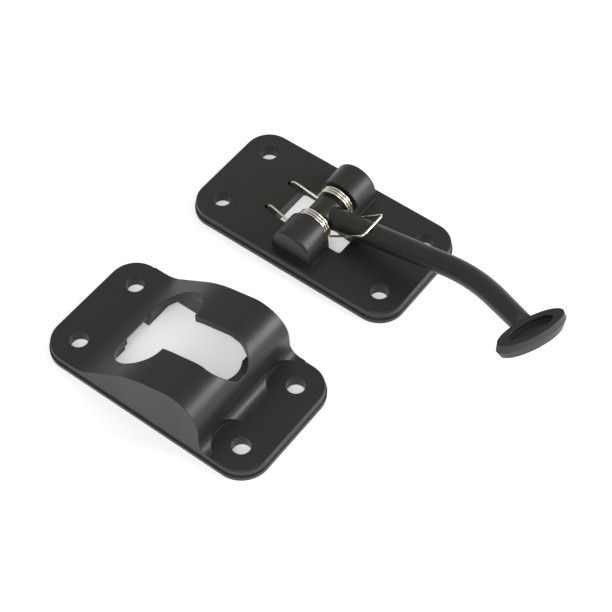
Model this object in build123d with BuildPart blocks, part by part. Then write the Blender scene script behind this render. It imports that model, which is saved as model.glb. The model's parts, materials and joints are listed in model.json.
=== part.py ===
"""Spring-loaded T-arm door holdback: a hook unit and the slotted keeper it drops into.

Millimetres. X runs along both plates, towards the T-head. Y runs along the pivot pin. Z is up,
off the mounting surface. The origin is the centre of the hook plate's underside.
"""
from math import asin, atan2, cos, degrees, hypot, radians, sin, tan
import os

from build123d import *

os.makedirs("parts", exist_ok=True)

# Hook plate
plate_length = 89.0
plate_width = 47.4
plate_thickness = 5.0
plate_corner_radius = 9.8
hook_hole_inset = 9.9
screw_hole_diameter = 6.6

# Both plates: a full-size foot, with the upper part set back a little all round
foot_height = 1.6
edge_setback = 0.5
edge_fillet = 0.7

# Window in the hook plate, between the two bosses
window_left = -14.7
window_right = 13.8
window_corner_radius = 1.2

# Pivot
pivot_x = 0.8
pivot_height = 8.6
pin_diameter = 4.0
pin_chamfer = 0.4
pin_seat_clearance = 0.05
pin_end_clearance = 0.3
arm_bore_clearance = 0.06

# Bosses
boss_margin = 3.7
boss_end_wall = 3.2
boss_arch_radius = 8.4
boss_arch_height = 7.7
boss_base_half_width = 8.8
boss_edge_fillet = 1.0

# Torsion spring: one wire, two coils, a bail over the arm and two legs down into the plate
wire_diameter = 1.1
coil_mean_radius = 6.2
coil_rings = 4
coil_turn_gap = 0.05
coil_side_clearance = 0.1
coil_end_clearance = 0.2
coil_relief = 0.02
bail_distance = 20.7
bail_half_width = 6.0
bail_corner_radius = 1.6
leg_hole_inset = 4.8
leg_hole_y = 6.8
leg_hole_clearance = 0.55
leg_rise = 1.5
leg_depth = 3.6
leg_bend_radius = 2.0
leg_overlap = 0.4

# Arm
arm_rise_angle = 11.5
rod_start = 3.2
hub_radius = 5.6
hub_half_width = 4.0
hub_edge_fillet = 0.8
trunnion_coil_clearance = 0.7
trunnion_side_clearance = 0.2
coil_channel_clearance = 0.35
rod_root_radius = 4.25
rod_bend_section = 3.95
rod_tip_radius = 3.65
rod_straight = 51.7
rod_bend_radius = 60.0
rod_bend_angle = 22.0
rod_end_straight = 20.3
stop_heel_length = 4.0
stop_heel_width = 5.0
stop_gap = 0.1
stop_lead_in_height = 1.0
stop_lead_in_length = 0.6

# T-head: widest a little below the rod's centre line, drawn in above and below
head_turn_angle = 24.0
head_half_length = 13.35
head_half_width = 4.45
head_girth_drop = 0.5
head_top_height = 2.5
head_top_draw_in = 0.75
head_bottom_depth = 3.6
head_bottom_draw_in = 1.3
head_side_draw_in = 0.2
head_blend_reach = 3.0
head_blend_height = 1.8
head_pocket_half_length = 8.4
head_pocket_half_width = 2.6
head_pocket_depth = 2.0

# Keeper plate
keeper_offset_y = -76.2
keeper_length = 90.5
keeper_width = 49.6
keeper_thickness = 4.6
keeper_corner_radius = 10.4
keeper_hole_inset_x = 10.45
keeper_hole_inset_y = 10.3
spot_face_radius = 9.8

# Keeper bump: a long ramp, a crest and a steep drop
ramp_inset = 19.25
ramp_share = 0.435
ramp_break_z = 20.2
crest_slope = 15.0
bump_inset = 19.95
bump_right_lean = 0.7
ramp_foot_radius = 12.0
ramp_foot_tail = 8.0
ramp_break_share = 0.75
crest_share = 0.217
bump_foot_radius = 4.4
bump_foot_tail = 6.0
bump_wall = 3.2
bump_draft = 3.0
hollow_inset = 4.0

# Keeper slot
slot_inset = 5.5
slot_side_margin = 6.8
slot_wide_width = 18.6
slot_stem_width = 16.5
slot_end_inset = 2.7
slot_ledge_length = 2.6
slot_ledge_drop = 10.45
slot_notch_width = 12.4
slot_notch_depth = 0.5
slot_notch_reach = 4.0
slot_notch_lip = 1.4

# Worked out from the sizes above
wire_radius = wire_diameter / 2
pin_radius = pin_diameter / 2
hook_hole_spacing_x = plate_length - 2 * hook_hole_inset
hook_hole_spacing_y = plate_width - 2 * hook_hole_inset
coil_pitch = wire_diameter + coil_turn_gap
coil_inner = hub_half_width + coil_side_clearance + wire_radius
coil_outer = coil_inner + (coil_rings - 1) * coil_pitch
boss_inner = coil_outer + wire_radius + coil_end_clearance
boss_outer = plate_width / 2 - boss_margin
boss_length = boss_outer - boss_inner
pin_length = 2 * (boss_outer - boss_end_wall - pin_end_clearance)
leg_hole_x = window_left - leg_hole_inset
leg_hole_diameter = wire_diameter + 2 * leg_hole_clearance
trunnion_radius = coil_mean_radius - wire_radius - trunnion_coil_clearance
rise = radians(arm_rise_angle)
arm_plane = Plane(
    origin=(pivot_x, 0, pivot_height),
    x_dir=(cos(rise), 0, sin(rise)),
    z_dir=(-sin(rise), 0, cos(rise)),
)
bend = radians(rod_bend_angle)


def plate_blank(length, width, thickness, corner_radius, centre_y):
    """The plate without its features: foot band, set-back upper band, rounded top edge."""
    with BuildPart() as blank:
        with BuildSketch(Plane.XY):
            with Locations((0, centre_y)):
                RectangleRounded(length, width, corner_radius)
        extrude(amount=foot_height)
        with BuildSketch(Plane.XY.offset(foot_height)):
            with Locations((0, centre_y)):
                RectangleRounded(
                    length - 2 * edge_setback, width - 2 * edge_setback, corner_radius - edge_setback
                )
        extrude(amount=thickness - foot_height)
        fillet(blank.edges().group_by(Axis.Z)[-1], radius=edge_fillet)
    return blank.part


# ---------------------------------------------------------------- hook base
hook_blank = plate_blank(plate_length, plate_width, plate_thickness, plate_corner_radius, 0)

with BuildPart() as hook_base:
    add(hook_blank)
    for side in (1, -1):
        outer_end = Plane(origin=(pivot_x, side * boss_outer, 0), x_dir=(side * -1, 0, 0), z_dir=(0, side, 0))
        with BuildSketch(outer_end):
            with Locations((0, boss_arch_height)):
                Circle(boss_arch_radius)
            with BuildLine():
                Polyline(
                    (-boss_base_half_width, foot_height),
                    (boss_base_half_width, foot_height),
                    (boss_arch_radius, boss_arch_height),
                    (-boss_arch_radius, boss_arch_height),
                    close=True,
                )
            make_face()
            with BuildLine():
                Polyline(
                    (-plate_length, foot_height),
                    (plate_length, foot_height),
                    (plate_length, -plate_width),
                    (-plate_length, -plate_width),
                    close=True,
                )
            make_face(mode=Mode.SUBTRACT)
        extrude(amount=-boss_length)
    boss_end_edges = (
        hook_base.faces()
        .filter_by(Axis.Y)
        .filter_by(lambda face: abs(abs(face.center().Y) - boss_outer) < 0.01)
        .edges()
        .filter_by(lambda edge: edge.center().Z > plate_thickness + 0.1)
    )
    fillet(boss_end_edges, radius=boss_edge_fillet)

    # Window between the bosses, through the plate
    with BuildSketch(Plane.XY):
        with Locations(((window_left + window_right) / 2, 0)):
            RectangleRounded(window_right - window_left, 2 * boss_inner, window_corner_radius)
    extrude(amount=plate_thickness, mode=Mode.SUBTRACT)

    # Screw holes and the two small holes for the spring's legs
    with Locations(Plane.XY.offset(plate_thickness)):
        with GridLocations(hook_hole_spacing_x, hook_hole_spacing_y, 2, 2):
            Hole(screw_hole_diameter / 2)
        with Locations((leg_hole_x, leg_hole_y), (leg_hole_x, -leg_hole_y)):
            Hole(leg_hole_diameter / 2)

    # Pin seats, open towards the mounting surface and closed above and at the outer ends
    seat_radius = pin_radius + pin_seat_clearance
    seat_length = pin_length + 2 * pin_end_clearance
    with BuildSketch(Plane.XZ.offset(-seat_length / 2)):
        with Locations((pivot_x, pivot_height)):
            Circle(seat_radius)
        with Locations((pivot_x, pivot_height / 2)):
            Rectangle(2 * seat_radius, pivot_height)
    extrude(amount=seat_length, mode=Mode.SUBTRACT)

hook_base.part.label = "hook_base"
export_step(hook_base.part, "parts/hook_base.step")

# ---------------------------------------------------------------- pivot pin
with BuildPart() as pivot_pin:
    with BuildSketch(Plane.XZ.offset(-pin_length / 2)):
        with Locations((pivot_x, pivot_height)):
            Circle(pin_radius)
    extrude(amount=pin_length)
    chamfer(pivot_pin.edges().filter_by(GeomType.CIRCLE), length=pin_chamfer)

pivot_pin.part.label = "pivot_pin"
export_step(pivot_pin.part, "parts/pivot_pin.step")

# ---------------------------------------------------------------- latch arm
bend_end = (rod_straight + rod_bend_radius * sin(bend), -rod_bend_radius * (1 - cos(bend)))
head_centre = (
    bend_end[0] + rod_end_straight * cos(bend),
    bend_end[1] - rod_end_straight * sin(bend),
)
head_turn = radians(head_turn_angle)
head_plane = Plane(
    origin=arm_plane.from_local_coords(Vector(head_centre[0], head_centre[1], 0)),
    x_dir=arm_plane.x_dir * cos(head_turn) - arm_plane.y_dir * sin(head_turn),
    z_dir=arm_plane.z_dir,
)
head_top = (head_half_width - head_side_draw_in, head_half_length - head_top_draw_in)

rod_root = arm_plane.from_local_coords(Vector(rod_start, 0, 0))
rod_taper = degrees(atan2(rod_root_radius - rod_bend_section, rod_straight - rod_start))
rod_end_taper = degrees(atan2(rod_bend_section - rod_tip_radius, rod_end_straight))
with BuildLine(arm_plane) as bend_path:
    JernArc((rod_straight, 0), (1, 0), rod_bend_radius, -rod_bend_angle)

with BuildPart() as latch_arm:
    # Hub between the coils, and the trunnions that carry the coils
    for radius, half_width in (
        (hub_radius, hub_half_width),
        (trunnion_radius, boss_inner - trunnion_side_clearance),
    ):
        with BuildSketch(Plane.XZ.offset(-half_width)):
            with Locations((pivot_x, pivot_height)):
                Circle(radius)
        extrude(amount=2 * half_width)
        if radius == hub_radius:
            fillet(latch_arm.edges().filter_by(GeomType.CIRCLE), radius=hub_edge_fillet)

    # Round rod: a long taper, a gentle sideways bend, and a short taper into the head
    with BuildSketch(Plane(origin=rod_root, z_dir=arm_plane.x_dir)):
        Circle(rod_root_radius)
    extrude(amount=rod_straight - rod_start, taper=rod_taper)
    with BuildSketch(Plane(origin=bend_path.line @ 0, z_dir=bend_path.line % 0)):
        Circle(rod_bend_section)
    sweep(path=bend_path.line)
    with BuildSketch(Plane(origin=bend_path.line @ 1, z_dir=bend_path.line % 1)):
        Circle(rod_bend_section)
    extrude(amount=rod_end_straight, taper=rod_end_taper)

    # Heel under the root that rests on the window's edge
    heel_top = pivot_height + (window_right - pivot_x) * tan(rise)
    with BuildSketch(Plane.XZ.offset(-stop_heel_width / 2)):
        with BuildLine():
            Polyline(
                (window_right - hub_radius, heel_top),
                (window_right - hub_radius, plate_thickness + stop_gap + stop_lead_in_height),
                (window_right - stop_lead_in_length, plate_thickness + stop_gap),
                (window_right + stop_heel_length, plate_thickness + stop_gap),
                (window_right + stop_heel_length, heel_top),
                close=True,
            )
        make_face()
    extrude(amount=stop_heel_width)

    # T-head: an oval bar across the rod's end
    with BuildSketch(head_plane.offset(-head_bottom_depth)):
        Ellipse(head_half_width - head_side_draw_in, head_half_length - head_bottom_draw_in)
    with BuildSketch(head_plane.offset(-head_girth_drop)):
        Ellipse(head_half_width, head_half_length)
    with BuildSketch(head_plane.offset(head_top_height)):
        Ellipse(*head_top)
    loft(ruled=True)

    # The rod's end, sloped down to the head's upper face
    with BuildSketch(head_plane.offset(head_top_height)):
        Ellipse(*head_top)
    with BuildSketch(head_plane.offset(head_top_height + head_blend_height)):
        Ellipse(head_top[0] + head_blend_reach, head_top[1] + head_blend_reach)
    loft(ruled=True, mode=Mode.SUBTRACT)

    # Pocket in the head's upper face
    with BuildSketch(head_plane.offset(head_top_height)):
        Ellipse(head_pocket_half_width, head_pocket_half_length)
    extrude(amount=-head_pocket_depth, mode=Mode.SUBTRACT)

    # Channels that the coils run in, beside the hub and around the trunnions
    channel_radius = coil_mean_radius + wire_radius + coil_channel_clearance
    for side in (1, -1):
        with BuildSketch(Plane(origin=(pivot_x, side * hub_half_width, pivot_height), z_dir=(0, side, 0))):
            Circle(channel_radius)
            Circle(trunnion_radius, mode=Mode.SUBTRACT)
        extrude(amount=boss_inner, mode=Mode.SUBTRACT)

    # Bore for the pin
    with BuildSketch(Plane(origin=(pivot_x, boss_inner, pivot_height), z_dir=(0, -1, 0))):
        Circle(pin_radius + arm_bore_clearance)
    extrude(amount=2 * boss_inner, mode=Mode.SUBTRACT)

latch_arm.part.label = "latch_arm"
export_step(latch_arm.part, "parts/latch_arm.step")

# ---------------------------------------------------------------- torsion spring
# Each leg and each side of the bail leaves its coil on a tangent.
bail_height = pivot_height + bail_distance * tan(rise) + (rod_root_radius + wire_radius) / cos(rise)
bail_reach = hypot(bail_distance, bail_height - pivot_height)
bail_angle = atan2(bail_height - pivot_height, bail_distance) + asin(coil_mean_radius / bail_reach)
leg_top = plate_thickness + wire_radius + leg_rise
leg_reach = hypot(pivot_x - leg_hole_x, pivot_height - leg_top)
leg_angle = asin(coil_mean_radius / leg_reach) - atan2(pivot_height - leg_top, pivot_x - leg_hole_x)


def tangent_start(angle, y, turning):
    """Point a little back along the tangent from a coil's centre line, angle 0 at the bottom."""
    return (
        pivot_x + coil_mean_radius * sin(angle) - turning * leg_overlap * cos(angle),
        y,
        pivot_height - coil_mean_radius * cos(angle) - turning * leg_overlap * sin(angle),
    )


with BuildPart() as torsion_spring:
    for side in (1, -1):
        # Coil: closed turns side by side, joined along their middle
        with BuildSketch(Plane.YZ.offset(pivot_x)):
            for ring in range(coil_rings):
                with Locations((side * (coil_inner + ring * coil_pitch), pivot_height + coil_mean_radius)):
                    Circle(wire_radius - coil_relief)
            with Locations((side * (coil_inner + coil_outer) / 2, pivot_height + coil_mean_radius)):
                Rectangle(coil_outer - coil_inner, wire_radius)
        revolve(axis=Axis((pivot_x, 0, pivot_height), (0, 1, 0)))

        # Half of the bail: up past the arm and in to the middle of the bar across its top
        with BuildLine() as bail_half:
            FilletPolyline(
                tangent_start(bail_angle, side * coil_inner, 1),
                (pivot_x + bail_distance, side * bail_half_width, bail_height),
                (pivot_x + bail_distance, 0, bail_height),
                radius=bail_corner_radius,
            )
        with BuildSketch(Plane(origin=bail_half.line @ 0, z_dir=bail_half.line % 0)):
            Circle(wire_radius)
        sweep(path=bail_half.line)

        # Leg: up over the window's edge and down into its hole in the plate
        with BuildLine() as leg:
            FilletPolyline(
                tangent_start(-leg_angle, side * coil_outer, -1),
                (leg_hole_x, side * leg_hole_y, leg_top),
                (leg_hole_x, side * leg_hole_y, plate_thickness - leg_depth),
                radius=leg_bend_radius,
            )
        with BuildSketch(Plane(origin=leg.line @ 0, z_dir=leg.line % 0)):
            Circle(wire_radius)
        sweep(path=leg.line)

torsion_spring.part.label = "torsion_spring"
export_step(torsion_spring.part, "parts/torsion_spring.step")

# ---------------------------------------------------------------- keeper plate
keeper_blank = plate_blank(
    keeper_length, keeper_width, keeper_thickness, keeper_corner_radius, keeper_offset_y
)
keeper_hole_spacing_x = keeper_length - 2 * keeper_hole_inset_x
keeper_hole_spacing_y = keeper_width - 2 * keeper_hole_inset_y
ramp_start = -keeper_length / 2 + ramp_inset
bump_right_foot = keeper_length / 2 - bump_inset
bump_right = bump_right_foot - bump_right_lean
bump_length = bump_right - ramp_start
ramp_break_x = ramp_start + bump_length * ramp_share
ramp_break_radius = bump_length * ramp_break_share
crest_radius = bump_length * crest_share
hollow_left = ramp_start + hollow_inset
slot_left = ramp_start + slot_inset
slot_wide_length = keeper_width - 2 * slot_side_margin
slot_stem_end = bump_right - slot_end_inset
ramp_slope = (ramp_break_z - keeper_thickness) / (ramp_break_x - ramp_start)
crest_corner_z = ramp_break_z + (bump_right - ramp_break_x) * tan(radians(crest_slope))
keeper_side = Plane.XZ.offset(-keeper_offset_y)
middle_half_width = keeper_width / 2 - edge_setback


def inset_ramp(x, inset):
    """Height of the ramp's line at x, moved square to itself by inset."""
    return keeper_thickness + (x - ramp_start) * ramp_slope - inset * hypot(1, ramp_slope)


lean = radians(bump_draft)
hollow_half_width = (
    keeper_width / 2 - edge_setback - (crest_corner_z - keeper_thickness) * tan(lean) - bump_wall
)
slot_stem_start = slot_left + slot_wide_width / 2
slot_stem_length = slot_stem_end - slot_stem_start + slot_stem_width / 2
slot_stem_centre = slot_stem_end - slot_stem_length / 2
inset_crest = bump_wall / cos(radians(crest_slope))
inner_right = bump_right - bump_wall
inner_corner_z = crest_corner_z - inset_crest - bump_wall * tan(radians(crest_slope))
break_gap = bump_wall * (hypot(1, ramp_slope) - 1 / cos(radians(crest_slope)))
inner_break_x = ramp_break_x + break_gap / (ramp_slope - tan(radians(crest_slope)))
inner_break_z = inset_ramp(inner_break_x, bump_wall)

with BuildPart() as keeper_plate:
    add(keeper_blank)

    # Bump: the outer profile, drawn in at both sides as it rises
    with BuildSketch(keeper_side) as bump_face:
        with BuildLine():
            outer = FilletPolyline(
                (ramp_start - ramp_foot_tail, keeper_thickness),
                (ramp_start, keeper_thickness),
                (ramp_break_x, ramp_break_z),
                (bump_right, crest_corner_z),
                (bump_right_foot, keeper_thickness),
                (bump_right_foot + bump_foot_tail, keeper_thickness),
                radius=(ramp_foot_radius, ramp_break_radius, crest_radius, bump_foot_radius),
            )
            Polyline(
                outer @ 1,
                (bump_right_foot + bump_foot_tail, foot_height),
                (ramp_start - ramp_foot_tail, foot_height),
                outer @ 0,
            )
        make_face()
    extrude(amount=middle_half_width, both=True)
    for side in (1, -1):
        shoulder = Plane(
            origin=(0, keeper_offset_y + side * middle_half_width, keeper_thickness),
            x_dir=(1, 0, 0),
            z_dir=(0, cos(lean), side * sin(lean)),
        )
        with BuildSketch(shoulder):
            Rectangle(2 * keeper_length, 4 * crest_corner_z)
        extrude(amount=side * keeper_width, mode=Mode.SUBTRACT)

    # Foot and flanges again, since the leaning cuts reach them
    add(keeper_blank)

    # Hollow under the bump, one wall in from the outer profile and open below
    with BuildSketch(keeper_side):
        with BuildLine():
            FilletPolyline(
                (hollow_left, -keeper_thickness),
                (hollow_left, inset_ramp(hollow_left, bump_wall)),
                (inner_break_x, inner_break_z),
                (inner_right, inner_corner_z),
                (inner_right, -keeper_thickness),
                radius=(0, ramp_break_radius - bump_wall, crest_radius - bump_wall),
            )
            Line((inner_right, -keeper_thickness), (hollow_left, -keeper_thickness))
        make_face()
    extrude(amount=hollow_half_width, both=True, mode=Mode.SUBTRACT)

    # T-slot: a wide rounded mouth, a narrower stem up over the crest, a small notch in the left edge
    with BuildSketch(Plane.XY):
        with Locations((slot_left + slot_wide_width / 2, keeper_offset_y)):
            SlotOverall(slot_wide_length, slot_wide_width, rotation=90)
        with Locations((slot_stem_centre, keeper_offset_y)):
            SlotOverall(slot_stem_length, slot_stem_width)
        with Locations((slot_left, keeper_offset_y)):
            Rectangle(2 * slot_notch_depth, slot_notch_width)
    extrude(amount=2 * crest_corner_z, mode=Mode.SUBTRACT)

    # Ledge round the stem's end, in the top of the steep wall
    with BuildSketch(Plane.XY.offset(crest_corner_z - slot_ledge_drop)):
        with Locations((slot_stem_end + slot_ledge_length - slot_stem_width / 2, keeper_offset_y)):
            Circle(slot_stem_width / 2)
    extrude(amount=crest_corner_z, mode=Mode.SUBTRACT)

    # Undercut behind the notch, which leaves a thin lip
    with BuildSketch(keeper_side):
        with BuildLine():
            Polyline(
                (slot_left - slot_notch_reach, -keeper_thickness),
                (slot_left - slot_notch_reach, inset_ramp(slot_left - slot_notch_reach, slot_notch_lip)),
                (slot_left, inset_ramp(slot_left, slot_notch_lip)),
                (slot_left, -keeper_thickness),
                close=True,
            )
        make_face()
    extrude(amount=slot_notch_width / 2, both=True, mode=Mode.SUBTRACT)

    # Screw holes, with round flats cut into the bump's foot beside the right-hand pair
    with BuildSketch(Plane.XY.offset(keeper_thickness)):
        with Locations((keeper_hole_spacing_x / 2, keeper_offset_y)):
            with GridLocations(0, keeper_hole_spacing_y, 1, 2):
                Circle(spot_face_radius)
    extrude(amount=crest_corner_z, mode=Mode.SUBTRACT)
    with Locations((0, keeper_offset_y, keeper_thickness)):
        with GridLocations(keeper_hole_spacing_x, keeper_hole_spacing_y, 2, 2):
            Hole(screw_hole_diameter / 2)

keeper_plate.part.label = "keeper_plate"
export_step(keeper_plate.part, "parts/keeper_plate.step")
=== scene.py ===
import json
from math import asin, atan2, cos, hypot, pi, radians, sin

import bpy
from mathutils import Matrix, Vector


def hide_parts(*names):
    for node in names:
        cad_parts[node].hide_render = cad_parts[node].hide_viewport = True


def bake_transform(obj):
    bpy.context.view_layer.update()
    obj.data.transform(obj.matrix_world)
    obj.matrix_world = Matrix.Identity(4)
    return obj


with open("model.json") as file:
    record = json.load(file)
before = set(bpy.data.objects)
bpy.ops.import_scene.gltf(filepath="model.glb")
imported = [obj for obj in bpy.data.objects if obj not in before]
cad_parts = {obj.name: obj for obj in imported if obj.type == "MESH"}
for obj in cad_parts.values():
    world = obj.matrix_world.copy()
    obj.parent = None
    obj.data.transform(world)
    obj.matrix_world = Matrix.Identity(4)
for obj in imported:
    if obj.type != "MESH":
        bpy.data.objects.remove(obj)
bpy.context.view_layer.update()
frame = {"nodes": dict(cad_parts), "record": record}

nodes = frame["nodes"]
joints = frame["record"]["behaviour"]["joints"]
armSwing = next(joint for joint in joints if joint["name"] == "arm_swing")
pivot = Vector(armSwing["pos_m"])
print("frame loaded, pivot at", tuple(pivot))


# Shader helpers

grainSettings = {
    "fineDetail": 3.0, "fineRoughness": 0.62, "blotchDetail": 4.0, "blotchRoughness": 0.55,
    "speckStart": 0.63, "speckFull": 0.74, "toneLow": 0.3, "toneHigh": 0.7,
}
edgeSettings = {"samples": 6, "flatFacing": 0.99, "edgeFacing": 0.8, "breakUpDetail": 2.0}


def addNode(tree, kind, inputs=None, **settings):
    node = tree.nodes.new(kind)
    for name, value in settings.items():
        setattr(node, name, value)
    for name, value in (inputs or {}).items():
        node.inputs[name].default_value = value
    return node


def newGroup(name, inputs, outputs):
    group = bpy.data.node_groups.new(name, "ShaderNodeTree")
    for socketName, socketType, value in inputs:
        socket = group.interface.new_socket(
            socketName, in_out="INPUT", socket_type=socketType)
        socket.default_value = value
    for socketName, socketType in outputs:
        group.interface.new_socket(socketName, in_out="OUTPUT", socket_type=socketType)
    entry = group.nodes.new("NodeGroupInput")
    leave = group.nodes.new("NodeGroupOutput")
    return group, entry, leave


def buildGrainGroup(s):
    # fine moulded or drawn grain: a height for bump, a slow tone for colour and roughness,
    # and a mask of small specks
    group, entry, leave = newGroup(
        "surfaceGrain",
        [("Grain Scale", "NodeSocketFloat", 2400.0),
         ("Blotch Scale", "NodeSocketFloat", 60.0),
         ("Stretch", "NodeSocketVector", (1.0, 1.0, 1.0))],
        [("Height", "NodeSocketFloat"),
         ("Tone", "NodeSocketFloat"),
         ("Speck", "NodeSocketFloat")],
    )
    links = group.links
    place = addNode(group, "ShaderNodeTexCoord")
    stretched = addNode(group, "ShaderNodeVectorMath", operation="MULTIPLY")
    links.new(place.outputs["Object"], stretched.inputs[0])
    links.new(entry.outputs["Stretch"], stretched.inputs[1])
    fine = addNode(group, "ShaderNodeTexNoise", {
        "Detail": s["fineDetail"], "Roughness": s["fineRoughness"]})
    links.new(stretched.outputs[0], fine.inputs["Vector"])
    links.new(entry.outputs["Grain Scale"], fine.inputs["Scale"])
    blotch = addNode(group, "ShaderNodeTexNoise", {
        "Detail": s["blotchDetail"], "Roughness": s["blotchRoughness"]})
    links.new(stretched.outputs[0], blotch.inputs["Vector"])
    links.new(entry.outputs["Blotch Scale"], blotch.inputs["Scale"])
    specks = addNode(group, "ShaderNodeMapRange", {
        "From Min": s["speckStart"], "From Max": s["speckFull"]})
    links.new(fine.outputs["Fac"], specks.inputs["Value"])
    links.new(fine.outputs["Fac"], leave.inputs["Height"])
    links.new(blotch.outputs["Fac"], leave.inputs["Tone"])
    links.new(specks.outputs["Result"], leave.inputs["Speck"])
    return group


def buildEdgeGroup(s):
    # a normal softened over sharp edges, and a broken-up mask of those edges that lightens their
    # colour: painted edge highlight mixed with wear
    group, entry, leave = newGroup(
        "softEdges",
        [("Radius", "NodeSocketFloat", 0.0004),
         ("Amount", "NodeSocketFloat", 0.5),
         ("Break Up Scale", "NodeSocketFloat", 300.0)],
        [("Mask", "NodeSocketFloat"), ("Normal", "NodeSocketVector")],
    )
    links = group.links
    soft = addNode(group, "ShaderNodeBevel", samples=s["samples"])
    links.new(entry.outputs["Radius"], soft.inputs["Radius"])
    geometry = addNode(group, "ShaderNodeNewGeometry")
    facing = addNode(group, "ShaderNodeVectorMath", operation="DOT_PRODUCT")
    links.new(soft.outputs["Normal"], facing.inputs[0])
    links.new(geometry.outputs["Normal"], facing.inputs[1])
    edges = addNode(group, "ShaderNodeMapRange", {
        "From Min": s["flatFacing"], "From Max": s["edgeFacing"]})
    links.new(facing.outputs["Value"], edges.inputs["Value"])
    place = addNode(group, "ShaderNodeTexCoord")
    noise = addNode(group, "ShaderNodeTexNoise", {"Detail": s["breakUpDetail"]})
    links.new(place.outputs["Object"], noise.inputs["Vector"])
    links.new(entry.outputs["Break Up Scale"], noise.inputs["Scale"])
    broken = addNode(group, "ShaderNodeMath", operation="MULTIPLY")
    links.new(edges.outputs["Result"], broken.inputs[0])
    links.new(noise.outputs["Fac"], broken.inputs[1])
    scaled = addNode(group, "ShaderNodeMath", operation="MULTIPLY", use_clamp=True)
    links.new(broken.outputs[0], scaled.inputs[0])
    links.new(entry.outputs["Amount"], scaled.inputs[1])
    links.new(scaled.outputs[0], leave.inputs["Mask"])
    links.new(soft.outputs["Normal"], leave.inputs["Normal"])
    return group


grainGroup = buildGrainGroup(grainSettings)
edgeGroup = buildEdgeGroup(edgeSettings)
print("shader groups built")


def addGroup(tree, group, inputs):
    node = tree.nodes.new("ShaderNodeGroup")
    node.node_tree = group
    for name, value in inputs.items():
        node.inputs[name].default_value = value
    return node


def mixColours(tree, factor, first, second):
    # the first colour is a fixed one or another node's output, the second is fixed
    mix = addNode(tree, "ShaderNodeMix", data_type="RGBA")
    tree.links.new(factor, mix.inputs["Factor"])
    if isinstance(first, tuple):
        mix.inputs["A"].default_value = first
    else:
        tree.links.new(first, mix.inputs["A"])
    mix.inputs["B"].default_value = second
    return mix.outputs["Result"]


def makeFinish(name, look):
    material = bpy.data.materials.new(name)
    material.use_nodes = True
    tree = material.node_tree
    shader = tree.nodes["Principled BSDF"]
    shader.inputs["Metallic"].default_value = look["metallic"]
    shader.inputs["Specular IOR Level"].default_value = look["specular"]
    grain = addGroup(tree, grainGroup, {
        "Grain Scale": look["grainScale"], "Blotch Scale": look["blotchScale"],
        "Stretch": look["stretch"]})
    colour = mixColours(tree, grain.outputs["Tone"], look["darkColour"], look["lightColour"])
    colour = mixColours(tree, grain.outputs["Speck"], colour, look["speckColour"])
    bump = addNode(tree, "ShaderNodeBump", {
        "Strength": look["bump"], "Distance": look["bumpDepth"]})
    if look["edgeRadius"] > 0:
        edges = addGroup(tree, edgeGroup, {
            "Radius": look["edgeRadius"], "Amount": look["edgeHighlightAndWearAmount"],
            "Break Up Scale": look["edgeHighlightAndWearScale"]})
        # lighter colour along edges, broken up by noise: painted edge highlight mixed with wear
        colour = mixColours(tree, edges.outputs["Mask"], colour, look["edgeHighlightAndWearColour"])
        tree.links.new(edges.outputs["Normal"], bump.inputs["Normal"])
    tree.links.new(colour, shader.inputs["Base Color"])
    rough = addNode(tree, "ShaderNodeMapRange", {
        "From Min": grainSettings["toneLow"], "From Max": grainSettings["toneHigh"],
        "To Min": look["roughness"] - look["roughnessSwing"],
        "To Max": look["roughness"] + look["roughnessSwing"]})
    tree.links.new(grain.outputs["Tone"], rough.inputs["Value"])
    tree.links.new(rough.outputs["Result"], shader.inputs["Roughness"])
    tree.links.new(grain.outputs["Height"], bump.inputs["Height"])
    tree.links.new(bump.outputs["Normal"], shader.inputs["Normal"])
    return material


mouldingLook = {
    "metallic": 0.0, "specular": 0.42, "roughness": 0.4, "roughnessSwing": 0.05,
    "darkColour": (0.0125, 0.0122, 0.0108, 1), "lightColour": (0.0165, 0.016, 0.014, 1),
    # the lighter edge colour is painted edge highlight mixed with wear
    "speckColour": (0.024, 0.0235, 0.021, 1), "edgeHighlightAndWearColour": (0.035, 0.034, 0.031, 1),
    "edgeHighlightAndWearAmount": 0.9, "edgeHighlightAndWearScale": 300.0, "edgeRadius": 0.00045,
    "grainScale": 2600.0, "blotchScale": 55.0, "stretch": (1.0, 1.0, 1.0),
    "bump": 0.35, "bumpDepth": 0.00006,
}
springLook = {
    "metallic": 1.0, "specular": 0.5, "roughness": 0.17, "roughnessSwing": 0.05,
    "darkColour": (0.7, 0.66, 0.57, 1), "lightColour": (0.86, 0.82, 0.73, 1),
    "speckColour": (0.62, 0.57, 0.48, 1),
    "edgeRadius": 0.0,  # none, because the wire is too thin for softened edges
    "grainScale": 3000.0, "blotchScale": 420.0, "stretch": (1.0, 0.35, 1.0),
    "bump": 0.06, "bumpDepth": 0.00002,
}
pinLook = {
    "metallic": 1.0, "specular": 0.5, "roughness": 0.3, "roughnessSwing": 0.08,
    "darkColour": (0.42, 0.41, 0.39, 1), "lightColour": (0.6, 0.59, 0.56, 1),
    # the lighter edge colour is painted edge highlight mixed with wear
    "speckColour": (0.3, 0.29, 0.27, 1), "edgeHighlightAndWearColour": (0.75, 0.74, 0.7, 1),
    "edgeHighlightAndWearAmount": 0.6, "edgeHighlightAndWearScale": 400.0, "edgeRadius": 0.0001,
    "grainScale": 2200.0, "blotchScale": 160.0, "stretch": (1.0, 0.1, 1.0),
    "bump": 0.25, "bumpDepth": 0.00004,
}
blackMoulding = makeFinish("blackMoulding", mouldingLook)
springSteel = makeFinish("springSteel", springLook)
pinSteel = makeFinish("pinSteel", pinLook)


def finishNode(name, material):
    part = nodes[name]
    part.data.materials.clear()
    part.data.materials.append(material)
    for polygon in part.data.polygons:
        polygon.material_index = 0


for nodeName in ("hook_base", "latch_arm", "keeper_plate"):
    finishNode(nodeName, blackMoulding)
finishNode("pivot_pin", pinSteel)
print("CAD pieces finished")


# Torsion spring: one wire, from the leg on one side through both coils and the bail

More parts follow.
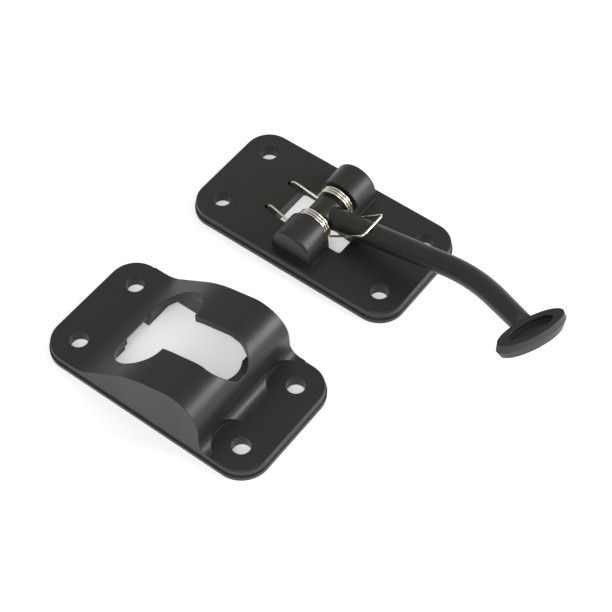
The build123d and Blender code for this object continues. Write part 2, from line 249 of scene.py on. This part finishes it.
springShape = {
    "wireRadius": 0.00044, "wireSides": 14,
    "coilRadius": 0.0063, "coilInner": 0.00465, "coilOuter": 0.0081, "turns": 3,
    "bailX": 0.0215, "bailHalfWidth": 0.0060, "bailHeight": 0.01768, "bailCorner": 0.0016,
    "legX": -0.0195, "legY": 0.0068, "legTop": 0.00705, "legBottom": 0.0014, "legBend": 0.0022,
    "stepsPerTurn": 72, "cornerSteps": 10, "legPoints": 3, "bailPoints": 4,
}


def roundedCorner(before, corner, after, radius, steps):
    # points of an arc of that radius that joins the two straight runs
    toBefore = (before - corner).normalized()
    toAfter = (after - corner).normalized()
    halfAngle = toBefore.angle(toAfter) / 2
    reach = radius * cos(halfAngle) / sin(halfAngle)
    centre = corner + (toBefore + toAfter).normalized() * (radius / sin(halfAngle))
    start = corner + toBefore * reach - centre
    end = corner + toAfter * reach - centre
    turn = start.angle(end)
    return [centre + (start * sin(turn * (1 - i / steps)) + end * sin(turn * i / steps)) / sin(turn)
            for i in range(steps + 1)]


def pointsBetween(first, last, count):
    # evenly spaced points on a straight run, without its ends
    return [first.lerp(last, i / (count + 1)) for i in range(1, count + 1)]


def springSide(side, s):
    # from the leg's foot, over its bend, round the coil, and out to the bail's corner
    legDrop = pivot.z - s["legTop"]
    legReach = pivot.x - s["legX"]
    legAngle = asin(s["coilRadius"] / hypot(legReach, legDrop)) - atan2(legDrop, legReach)
    rise = s["bailHeight"] - pivot.z
    bailReach = s["bailX"] - pivot.x
    bailAngle = atan2(rise, bailReach) + asin(s["coilRadius"] / hypot(bailReach, rise))

    def onCoil(angle, y):
        return Vector((pivot.x + s["coilRadius"] * sin(angle), side * y,
                       pivot.z - s["coilRadius"] * cos(angle)))

    legFoot = Vector((s["legX"], side * s["legY"], s["legBottom"]))
    legCorner = Vector((s["legX"], side * s["legY"], s["legTop"]))
    legJoin = onCoil(-legAngle, s["coilOuter"])
    points = [legFoot]
    points += roundedCorner(legFoot, legCorner, legJoin, s["legBend"], s["cornerSteps"])
    points += pointsBetween(points[-1], legJoin, s["legPoints"])
    sweep = 2 * pi * s["turns"] + legAngle + bailAngle
    steps = int(s["stepsPerTurn"] * sweep / (2 * pi))
    for i in range(steps + 1):
        along = i / steps
        y = s["coilOuter"] + (s["coilInner"] - s["coilOuter"]) * along
        points.append(onCoil(-legAngle + sweep * along, y))
    bailCorner = Vector((s["bailX"], side * s["bailHalfWidth"], s["bailHeight"]))
    bailMiddle = Vector((s["bailX"], 0, s["bailHeight"]))
    join = points[-1]
    corner = roundedCorner(join, bailCorner, bailMiddle, s["bailCorner"], s["cornerSteps"])
    return points + pointsBetween(join, corner[0], s["bailPoints"]) + corner


def makeSpring(s):
    front = springSide(-1, s)
    back = springSide(1, s)
    path = front + [Vector((s["bailX"], 0, s["bailHeight"]))] + back[::-1]
    curve = bpy.data.curves.new("springWire", "CURVE")
    curve.dimensions = "3D"
    curve.bevel_depth = s["wireRadius"]
    curve.bevel_resolution = s["wireSides"] // 2 - 2
    curve.use_fill_caps = True
    curve.twist_mode = "MINIMUM"
    spline = curve.splines.new("POLY")
    spline.points.add(len(path) - 1)
    for point, place in zip(spline.points, path):
        point.co = (*place, 1)
    holder = bpy.data.objects.new("springWire", curve)
    bpy.context.collection.objects.link(holder)
    solved = holder.evaluated_get(bpy.context.evaluated_depsgraph_get())
    mesh = bpy.data.meshes.new_from_object(solved)
    bpy.data.objects.remove(holder)
    mesh.name = "springMesh"
    spring = bpy.data.objects.new("doubleTorsionSpring", mesh)
    bpy.context.collection.objects.link(spring)
    mesh.materials.clear()
    mesh.materials.append(springSteel)
    for polygon in mesh.polygons:
        polygon.use_smooth = True
    return spring


spring = makeSpring(springShape)
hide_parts("torsion_spring")
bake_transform(spring)
print("spring wound")


# Floor, light and camera

studio = {
    "floorSize": 6.0, "floorDrop": 0.0002, "floorColour": (0.95, 0.95, 0.95, 1),
    "floorRoughness": 0.9, "floorSpecular": 0.1, "floorGlow": 0.36,
    "worldColour": (1, 1, 1, 1), "worldStrength": 0.56,
    "keyPlace": (0.75, 0.42, 0.42), "keySize": 0.45, "keyPower": 7.0,
    "frontPlace": (0.3, -0.75, 0.95), "frontSize": 0.6, "frontPower": 4.5,
}
viewing = {
    "azimuth": 36.91, "elevation": 53.69, "distance": 0.55951,
    "target": (0.01594, -0.03103, 0.0), "lens": 95.32, "sensorWidth": 36, "clipStart": 0.01,
}


def makeFloor(s):
    half = s["floorSize"] / 2
    mesh = bpy.data.meshes.new("paleFloor")
    corners = [(-half, -half), (half, -half), (half, half), (-half, half)]
    mesh.from_pydata([(x, y, -s["floorDrop"]) for x, y in corners], [], [(0, 1, 2, 3)])
    floor = bpy.data.objects.new("paleFloor", mesh)
    bpy.context.collection.objects.link(floor)
    material = bpy.data.materials.new("paleFloor")
    material.use_nodes = True
    shader = material.node_tree.nodes["Principled BSDF"]
    shader.inputs["Base Color"].default_value = s["floorColour"]
    shader.inputs["Roughness"].default_value = s["floorRoughness"]
    shader.inputs["Specular IOR Level"].default_value = s["floorSpecular"]
    shader.inputs["Emission Color"].default_value = s["floorColour"]
    shader.inputs["Emission Strength"].default_value = s["floorGlow"]
    mesh.materials.append(material)


def makeLamp(name, place, size, power):
    lamp = bpy.data.lights.new(name, "AREA")
    lamp.shape = "SQUARE"
    lamp.size = size
    lamp.energy = power
    holder = bpy.data.objects.new(name, lamp)
    holder.location = place
    aim = Vector(viewing["target"]) - Vector(place)
    holder.rotation_euler = aim.to_track_quat("-Z", "Y").to_euler()
    bpy.context.collection.objects.link(holder)


def makeCamera(s):
    azimuth = radians(s["azimuth"])
    elevation = radians(s["elevation"])
    back = Vector((
        sin(azimuth) * cos(elevation), -cos(azimuth) * cos(elevation), sin(elevation)))
    camera = bpy.data.cameras.new("studioCamera")
    camera.sensor_width = s["sensorWidth"]
    camera.lens = s["lens"]
    camera.clip_start = s["clipStart"]
    holder = bpy.data.objects.new("studioCamera", camera)
    holder.location = Vector(s["target"]) + back * s["distance"]
    holder.rotation_euler = (-back).to_track_quat("-Z", "Y").to_euler()
    bpy.context.collection.objects.link(holder)
    bpy.context.scene.camera = holder


def makeWorld(s):
    world = bpy.data.worlds.new("softStudio")
    world.use_nodes = True
    background = world.node_tree.nodes["Background"]
    background.inputs["Color"].default_value = s["worldColour"]
    background.inputs["Strength"].default_value = s["worldStrength"]
    bpy.context.scene.world = world


makeFloor(studio)
makeLamp("keyLamp", studio["keyPlace"], studio["keySize"], studio["keyPower"])
makeLamp("frontLamp", studio["frontPlace"], studio["frontSize"], studio["frontPower"])
makeWorld(studio)
makeCamera(viewing)
bpy.context.scene.view_settings.view_transform = "Standard"
print("studio ready")
